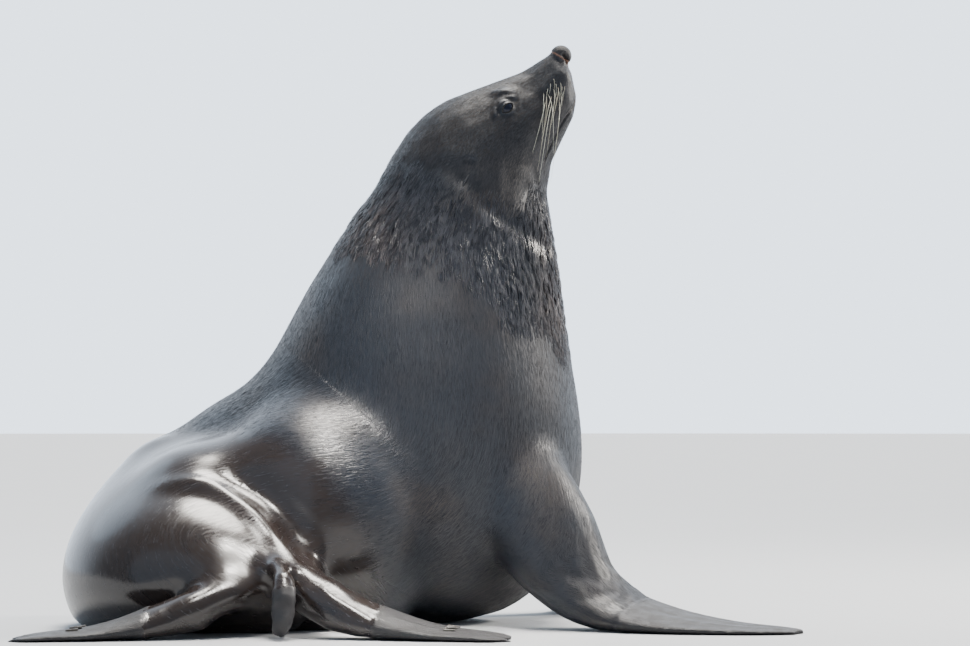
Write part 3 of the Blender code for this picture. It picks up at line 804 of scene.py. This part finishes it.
# A kind of tuft: the closed rings it is made of before its tip, tufts in a lock, and tufts to a square metre;
# its height over half its width, and how far its shading turns to the sides at its edges.
MANE_TUFT = {"rings": 3, "per_lock": 9, "density": 230000, "height": 0.55, "round": 1.60}
HEAD_TUFT = {"rings": 1, "per_lock": 4, "density": 620000, "height": 0.30, "round": 0.50}
BODY_TUFT = {"rings": 1, "per_lock": 4, "density": 120000, "height": 0.30, "round": 0.80}
MOST_TRIANGLES = 190000  # in one piece of coat
MANE_EDGE = 0.12  # share of mane above which the locks are long ones
ROOT_SINK = 0.0001  # how far the tufts' roots lie under the skin
PATCH = 0.003  # size of each tuft's own patch on the bake map


class Surface:
    """The finished skin as arrays, with a tree for finding the nearest point on it."""

    def __init__(self, mesh, flow, unwrap):
        self.points = mesh_points(mesh)
        self.normals = point_normals(mesh)
        self.areas = point_areas(mesh)
        self.flow = flow
        self.unwrap = unwrap
        self.tree = tree_of(self.points)


def point_areas(mesh):
    """The area of skin that belongs to each point."""
    areas = array_of(mesh.polygons, "area", 1)
    totals = array_of(mesh.polygons, "loop_total", 1, np.int32)
    corners = array_of(mesh.loops, "vertex_index", 1, np.int32)
    return np.bincount(corners, np.repeat(areas / totals, totals), len(mesh.vertices))


def tree_of(points):
    tree = KDTree(len(points))
    for i, point in enumerate(points):
        tree.insert(point, i)
    tree.balance()
    return tree


def look_up(tree, places):
    """The number of the nearest point in a tree, for each place."""
    find = tree.find
    return np.fromiter((find(place)[1] for place in places), int, len(places))


def sow(surface, density):
    """Picks the tufts' roots among the skin's points, density to a square metre, in order round the body."""
    wanted = density * surface.areas
    roots = np.repeat(np.arange(len(wanted)), (wanted + RANDOM.random(len(wanted))).astype(int))
    return roots[np.argsort(surface.unwrap[roots, 1], kind="stable")]


def tuft_faces(rings):
    """The faces of one tuft: a closed three-sided lock with its tip as last point."""
    faces = [(0, 1, 2)]
    for k in range(rings - 1):
        for a, b in ((0, 1), (1, 2), (2, 0)):
            one, two = 3 * k + a, 3 * k + b
            faces += [(one, one + 3, two), (two, one + 3, two + 3)]
    last = 3 * (rings - 1)
    faces += [(last + a, 3 * rings, last + b) for a, b in ((0, 1), (1, 2), (2, 0))]
    return np.array(faces)[:, ::-1]


def draw_tufts(surface, roots, style, kind):
    """What sets each tuft apart: its root, the pull towards its lock's leader, its size, lie and tone."""
    count = len(roots)
    normal = surface.normals[roots]
    jitter = RANDOM.uniform(-0.5 * GRAIN, 0.5 * GRAIN, (count, 3))
    jitter -= normal * (jitter * normal).sum(axis=1, keepdims=True)
    root = surface.points[roots] + jitter
    leaders = RANDOM.choice(count, max(1, count // kind["per_lock"]), replace=False)
    leader = leaders[look_up(tree_of(root[leaders]), root)]
    own, shared = RANDOM.random((4, count)), RANDOM.random((4, count))[:, leader]
    here = {name: values[roots] for name, values in style.items()}
    pull = root[leader] - root
    near = np.exp(-((np.linalg.norm(pull, axis=1) / (5 * here["width"])) ** 2))
    return {
        "root": root,
        "pull": pull * (here["clump"] * near)[:, None],
        "swing": here["bend"] * (0.8 * (own[0] - 0.5) + 2.4 * (shared[0] - 0.5)),
        "length": here["length"] * (0.60 + 0.25 * own[1] + 0.45 * shared[1]),
        "width": here["width"] * (0.7 + 0.6 * own[2]),
        "lift": here["lift"] * (0.35 + 0.25 * own[3] + shared[3]),
        "tone": 0.35 * own[1] + 0.65 * shared[2],
        # brown of painted sunlight, and of the lips, shared through each lock
        "sun_and_lip_brown": here["sun_and_lip_brown"] * (0.25 + 0.75 * shared[1]),
    }


def lay_tufts(surface, roots, tufts, kind):
    """The tufts' points, which follow the flow of the fur over the skin, and where their shading faces."""
    rings = kind["rings"]
    points = np.empty((len(roots), 3 * rings + 1, 3))
    facing = np.empty_like(points)
    here, at = tufts["root"], roots
    for k, t in enumerate(np.linspace(0.0, 1.0, rings + 1)):
        if k:
            here = here + way * (tufts["length"] / rings)[:, None]
            at = look_up(surface.tree, here)
            n = surface.normals[at]
            here = here - n * ((here - surface.points[at]) * n).sum(axis=1, keepdims=True)
        n, flow = surface.normals[at], surface.flow[at]
        way = unit(flow + np.cross(n, flow) * tufts["swing"][:, None])
        rise = math.sin(min(t * 1.4, 1.0) * math.pi / 2) * (1.0 - 0.25 * t**3)
        spot = here + tufts["pull"] * t**1.3 + n * (tufts["lift"] * rise - ROOT_SINK)[:, None]
        if k == rings:
            points[:, -1], facing[:, -1] = spot, n
            break
        half = (0.5 * tufts["width"] * (0.8 + 0.5 * t - 0.9 * t * t))[:, None]
        side = np.cross(n, way)
        turn = kind["round"] * side
        corners = ((-side, n - turn), (side, n + turn), (kind["height"] * n, n))
        for i, (offset, faces) in enumerate(corners, start=3 * k):
            points[:, i] = spot + half * offset
            facing[:, i] = unit(faces)
    return points, facing


def grow(name, surface, roots, style, kind, material):
    """A piece of coat, with one tuft on each of the roots."""
    tufts = draw_tufts(surface, roots, style, kind)
    points, facing = lay_tufts(surface, roots, tufts, kind)
    count, per, _ = points.shape
    faces = (tuft_faces(kind["rings"])[None] + np.arange(count)[:, None, None] * per).reshape(-1, 3)
    mesh = mesh_from(name, points.reshape(-1, 3), faces)
    mesh.normals_split_custom_set_from_vertices(facing.reshape(-1, 3).astype(np.float32))
    tips = np.append(np.repeat(np.arange(kind["rings"]) / kind["rings"], 3), 1.0)
    add_field(mesh, "tip", np.tile(tips, count))
    add_field(mesh, "tone", np.repeat(tufts["tone"], per))
    # the brown of painted sunlight and of the lips, for the materials to read
    add_field(mesh, "sun_and_lip_brown", np.repeat(tufts["sun_and_lip_brown"], per))
    set_bake_map(mesh, surface.unwrap[roots], tips, faces, per)
    obj = new_object(name, mesh, material)
    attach(obj, "root")


def furry_share(surface, field):
    """Where fur grows: not on flippers, nose, lids or lips, nor on the flats that touch the floor."""
    furry = 1 - ease(0.3, 0.6, field["bare"])
    furry *= 1 - ease(0.15, 0.4, field["pad"])
    furry *= ease(0.001, 0.010, surface.points[:, 2])
    for side, sign in SIDES.items():
        furry *= ease(0.0015, 0.0045, lid_distance(surface.points, side))
        furry *= ease(0.0015, 0.0045, path_distance(surface.points, on_side(MOUTH, sign))[0])
    return furry


def set_bake_map(mesh, places, tips, faces, per):
    """The UV map OFBake: each tuft is a small patch at its root's place on the unwrapped skin."""
    low, high = places.min(axis=0), places.max(axis=0)
    spots = PATCH + (places - low) / np.maximum(high - low, 1e-6) * (1 - 2 * PATCH)
    corner = faces.reshape(-1)
    tuft, which = corner // per, corner % per
    across = np.array([(i % 3) * 0.5 for i in range(per - 1)] + [0.5])
    offset = np.stack([tips[which] - 0.5, across[which] - 0.5], axis=1) * PATCH
    layer = mesh.uv_layers.new(name="OFBake")
    layer.data.foreach_set("uv", (spots[tuft] + offset).astype(np.float32).ravel())


def grow_coat(surface, field):
    locks, fur = lock_material(), fur_material()
    x, _, z = surface.points.T
    mane, head = field["mane"], field["head"]
    face = head * (1 - mane)
    muzzle = ease(0.13, 0.03, np.linalg.norm(surface.points - NOSE, axis=1))
    # The throat's front, the nape and the crown, where the fur faces up, get painted sunlight as brown tips;
    # the lips add their own real brown.
    front = ease(0.15, 0.21, x) * ease(0.70, 0.62, z) * ease(0.30, 0.42, z)
    nape = ease(0.02, -0.06, x) * ease(0.48, 0.54, z)
    crown = ease(0.0, 0.6, surface.normals[:, 2]) * ease(0.66, 0.72, z)
    style = {
        "length": (0.0110 + 0.0190 * mane) * (1 - 0.40 * face) * (1 - 0.45 * muzzle),
        "width": (0.0010 + 0.0007 * mane) * (1 - 0.30 * face) * (1 - 0.25 * muzzle),
        "lift": 0.0005 + MANE_DEPTH * mane**1.5,
        "bend": 0.10 + 0.14 * mane,
        "clump": 0.40 + 0.50 * mane,
        "sun_and_lip_brown": np.clip(0.5 * front + 0.4 * nape + 0.6 * crown + field["lip"], 0, 1),
    }
    furry = furry_share(surface, field)
    long = mane > MANE_EDGE
    sleek = ease(0.0, 0.9, field["sleek"])
    plots = {
        "coat_mane": (MANE_TUFT, locks, long * (0.35 + 0.65 * ease(MANE_EDGE, 0.6, mane))),
        "coat_head": (HEAD_TUFT, fur, (head > 0.5) & ~long),
        "coat_body": (BODY_TUFT, fur, ((head <= 0.5) & ~long) * (1 - sleek)),
    }
    for name, (kind, material, share) in plots.items():
        roots = sow(surface, kind["density"] * furry * share)
        triangles = len(roots) * len(tuft_faces(kind["rings"]))
        for i, some in enumerate(np.array_split(roots, math.ceil(triangles / MOST_TRIANGLES)), start=1):
            grow(f"{name}_{i}", surface, some, style, kind, material)


# ---- eyes, ears, whiskers and nails ----


def tube(name, lines, radii, sides):
    """Joined tubes along several lines of as many points. radii has a row for each line."""
    lines = np.array(lines)
    count, steps, _ = lines.shape
    ways = unit(np.gradient(lines, axis=1))
    helper = np.where(np.abs(ways[:, :, 2:3]) > 0.9, (1.0, 0.0, 0.0), (0.0, 0.0, 1.0))
    one = unit(np.cross(ways, helper))
    two = np.cross(ways, one)
    turn = np.linspace(0, 2 * math.pi, sides, endpoint=False)
    rim = one[:, :, None] * np.cos(turn)[:, None] + two[:, :, None] * np.sin(turn)[:, None]
    points = lines[:, :, None] + rim * np.array(radii)[:, :, None, None]
    faces = []
    for k in range(steps - 1):
        for i in range(sides):
            a, b = k * sides + i, k * sides + (i + 1) % sides
            faces += [(a, b, b + sides), (a, b + sides, a + sides)]
    end = (steps - 1) * sides
    for i in range(1, sides - 1):
        faces += [(0, i + 1, i), (end, end + i, end + i + 1)]
    per = steps * sides
    whole = (np.array(faces)[None] + np.arange(count)[:, None, None] * per).reshape(-1, 3)
    return mesh_from(name, points.reshape(-1, 3), whole)


def lid_line(half):
    """The opening of the lids, in so many points from one corner to the other, and as many back."""
    p = LID_LENGTH * np.cos(np.linspace(0, math.pi, half, endpoint=False))
    halves = []
    for sign, rise, radius in LID_ARCS:
        halves.append(np.stack([sign * p, sign * (np.sqrt(radius**2 - p**2) - radius + rise)], axis=1))
    line = np.vstack(halves)
    return np.vstack([line, line[:3]])


def make_eye(side):
    """A glossy eyeball with a low cornea, and the wet rim of the lids round it."""
    centre = EYES[side]
    out, long_way, short_way = eye_frame(side)
    bm = bmesh.new()
    bmesh.ops.create_uvsphere(bm, u_segments=48, v_segments=32, radius=EYE_RADIUS)
    for vertex in bm.verts:
        facing = max(0.0, vertex.co.normalized().dot(Vector(out)))
        vertex.co *= 1 - 0.02 + 0.035 * ease(0.80, 0.95, facing)
    mesh = mesh_of(bm, f"eyeball_{side}")
    mesh.transform(Matrix.Translation(centre))
    mesh.shade_smooth()
    ball = new_object(f"eyeball_{side}", mesh, eye_material())
    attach(ball, "root")
    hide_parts(f"eye_{side}")
    p, q = lid_line(40).T
    rise = np.sqrt((EYE_RADIUS + 0.0004) ** 2 - p**2 - q**2)
    line = centre + np.outer(p, long_way) + np.outer(q, short_way) + np.outer(rise, out)
    mesh = tube(f"eye_rim_{side}", [line], np.full((1, len(line)), EYE_RIM), 8)
    rim = new_object(f"eye_rim_{side}", mesh, rim_material())
    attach(rim, "root")


def make_ear(side, material):
    """A small furled ear: a tapering leaf, laid back along the head and rolled to open to the front."""
    sign = SIDES[side]
    low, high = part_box(f"ear_{side}")
    inner, outer = (high.y, low.y) if sign < 0 else (low.y, high.y)
    root = np.array((high.x - 0.004, inner + sign * 0.004, high.z - 0.006))
    tip = np.array((low.x + 0.004, outer - sign * 0.008, low.z + 0.002))
    way = unit(tip - root)
    wall = np.array((-0.65, 0.70 * sign, 0.25))
    wall = unit(wall - way * (wall @ way))
    across = np.cross(way, wall)
    steps, sides = 24, 17
    points = []
    for t in np.linspace(0, 1, steps):
        centre = root + (tip - root) * t
        radius = 0.0052 * math.sin(math.pi * (0.22 + 0.76 * t)) ** 0.7 * (1 - 0.35 * t)
        spread = math.radians(140 - 15 * t)
        for angle in np.linspace(-spread, spread, sides):
            points.append(centre + radius * (across * math.sin(angle) + wall * math.cos(angle) * 0.7))
    faces = []
    for k in range(steps - 1):
        for i in range(sides - 1):
            a = k * sides + i
            faces.append((a, a + 1, a + 1 + sides, a + sides))
    mesh = mesh_from(f"ear_leaf_{side}", np.array(points), np.array(faces))
    ear = new_object(f"ear_leaf_{side}", mesh, material)
    thick = ear.modifiers.new("thick", "SOLIDIFY")
    thick.thickness = 0.0014
    thick.offset = 0.0
    smooth = ear.modifiers.new("smooth", "SUBSURF")
    smooth.render_levels = 1
    add_field(mesh, "lie", np.array(points))
    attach(ear, "root")
    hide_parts(f"ear_{side}")


# Whisker roots on the right lip: the first one's offset from the nose pad's middle, and the steps to the next
# row (towards the nose's ridge) and to the next one back along the row.
WHISKER_START = np.array((0.0130, 0.0, -0.0470))
WHISKER_ROW = np.array((-0.0060, 0.0, 0.0032))
WHISKER_BACK = np.array((-0.0046, 0.0, -0.0080))
WHISKER_ROWS = 5
WHISKER_STEPS = 16  # points along each one
LIP_SIDE = 0.045  # how far out the lip is sought


def make_whiskers(side, surface):
    """Long stiff whiskers from the lip beside the mouth: they stand out a little, then hang straight down."""
    sign = SIDES[side]
    lines, radii, tones = [], [], []
    t = np.linspace(0, 1, WHISKER_STEPS)[:, None]
    for row in range(WHISKER_ROWS):
        for column in range(4 + row % 2):
            start = NOSE + WHISKER_START + row * WHISKER_ROW
            start += (column + 0.5 * (row % 2)) * WHISKER_BACK + (0, sign * LIP_SIDE, 0)
            start += RANDOM.normal(0, 0.0012, 3)
            root = surface.points[look_up(surface.tree, [start])[0]]
            long = ease(0.5, 3.5, column + RANDOM.uniform(-1.2, 1.2)) * (1 - 0.12 * row)
            length = 0.024 + 0.145 * long * RANDOM.uniform(0.6, 1.1)
            out = unit(np.array((0.05 - 0.06 * column, sign * 0.9, -0.75)) + RANDOM.normal(0, 0.14, 3))
            fall = unit(np.array((-0.10 - 0.02 * column, sign * 0.06, -1.0)) + RANDOM.normal(0, 0.075, 3))
            way = unit(out * (1 - t) ** 3 + fall * (1 - (1 - t) ** 3))
            reach = np.cumsum(way[:-1], axis=0) * length / (WHISKER_STEPS - 1)
            lines.append(root + np.vstack([np.zeros(3), reach]))
            radii.append((0.00024 + 0.00024 * long) * (1 - 0.80 * t[:, 0] ** 1.5))
            tones.append(RANDOM.random())
    mesh = tube(f"whiskers_{side}", lines, radii, 6)
    add_field(mesh, "tip", np.tile(np.repeat(t[:, 0], 6), len(lines)))
    add_field(mesh, "tone", np.repeat(tones, WHISKER_STEPS * 6))
    obj = new_object(f"whiskers_{side}", mesh, whisker_material())
    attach(obj, "root")


def finish_nails():
    material = horn_material()
    for name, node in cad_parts.items():
        if "claw" in name:
            node.data.materials.clear()
            node.data.materials.append(material)
            node.data.shade_smooth()


# ---- stage ----


def make_floor():
    bm = bmesh.new()
    bmesh.ops.create_circle(bm, cap_ends=True, segments=96, radius=40.0)
    mesh = mesh_of(bm, "floor")
    mesh.transform(Matrix.Translation((0, 0, -0.0005)))
    new_object("floor", mesh, floor_material())


def make_light(name, place, target, size, power, colour, spread=180):
    light = bpy.data.lights.new(name, "AREA")
    light.shape = "DISK"
    light.size = size
    light.energy = power
    light.color = colour
    light.spread = math.radians(spread)
    obj = new_object(name, light)
    obj.location = place
    obj.rotation_euler = (Vector(target) - Vector(place)).to_track_quat("-Z", "Y").to_euler()


def make_sun(name, way, strength, softness, colour):
    light = bpy.data.lights.new(name, "SUN")
    light.energy = strength
    light.angle = math.radians(softness)
    light.color = colour
    obj = new_object(name, light)
    obj.rotation_euler = Vector(way).to_track_quat("Z", "Y").to_euler()


def make_world():
    """A soft white studio, brighter behind the animal than on the camera's side."""
    s = Shader("studio", "worlds", "Background")
    direction = s.node("ShaderNodeTexCoord", "Generated", {})
    depth = s.node("ShaderNodeSeparateXYZ", "Y", {0: direction})
    strength = s.ramp(depth, 0.0, 0.9, 0.42, 3.0)
    bpy.context.scene.world = s.finish(Color=(0.77, 0.87, 1.0), Strength=strength)


def make_stage():
    make_floor()
    make_world()
    make_sun("key", (0.08, 0.28, 0.95), 7.0, 27.0, (1.0, 0.95, 0.88))
    make_light("glint", (2.8, 0.7, 1.9), (0.1, 0, 0.5), 0.6, 120, (1.0, 0.94, 0.86))
    make_light("fill", (-2.2, -3.2, 1.8), (0, 0, 0.35), 4.0, 20, (0.52, 0.74, 1.0))
    make_light("flank", (0.04, -0.62, 1.30), (-0.02, -0.27, 0.22), 0.45, 1.6, (1.0, 0.96, 0.90), 28)
    make_light("rim", (-2.4, 1.6, 2.2), (-0.2, 0, 0.35), 1.8, 10, (0.60, 0.80, 1.0))


def make_camera():
    camera = bpy.data.cameras.new("camera")
    camera.lens = CAMERA_LENS
    obj = new_object("camera", camera)
    obj.location = CAMERA_PLACE
    obj.rotation_euler = (math.radians(CAMERA_TILT), 0.0, 0.0)
    bpy.context.scene.camera = obj


def main():
    skin = build_skin()
    mesh = skin.data
    sculpt_head(mesh)
    field = regions(mesh, Net(mesh))
    points, normals = mesh_points(mesh), point_normals(mesh)
    depth = (FUR_DEPTH + MANE_SINK * field["mane"]) * (1 - ease(0.2, 0.5, field["bare"]))
    depth *= 1 - ease(0.1, 0.4, field["pad"])
    points -= normals * depth[:, None]
    points[:, 2] = np.maximum(points[:, 2], 0.0)
    set_points(mesh, points)
    flow, lie, limb_lie, unwrap = lie_of_coat(points, point_normals(mesh), field)
    for name in ("bare", "limb", "pad", "sleek", "wet", "lip"):
        add_field(mesh, name, field[name])
    add_field(mesh, "lie", lie)
    add_field(mesh, "limb_lie", limb_lie)
    mesh.shade_smooth()
    hide = skin_material()
    mesh.materials.append(hide)
    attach(skin, "root")
    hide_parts(*FLESH)
    surface = Surface(mesh, flow, unwrap)
    grow_coat(surface, field)
    for side in SIDES:
        make_eye(side)
        make_ear(side, hide)
        make_whiskers(side, surface)
    finish_nails()
    make_stage()
    make_camera()


main()
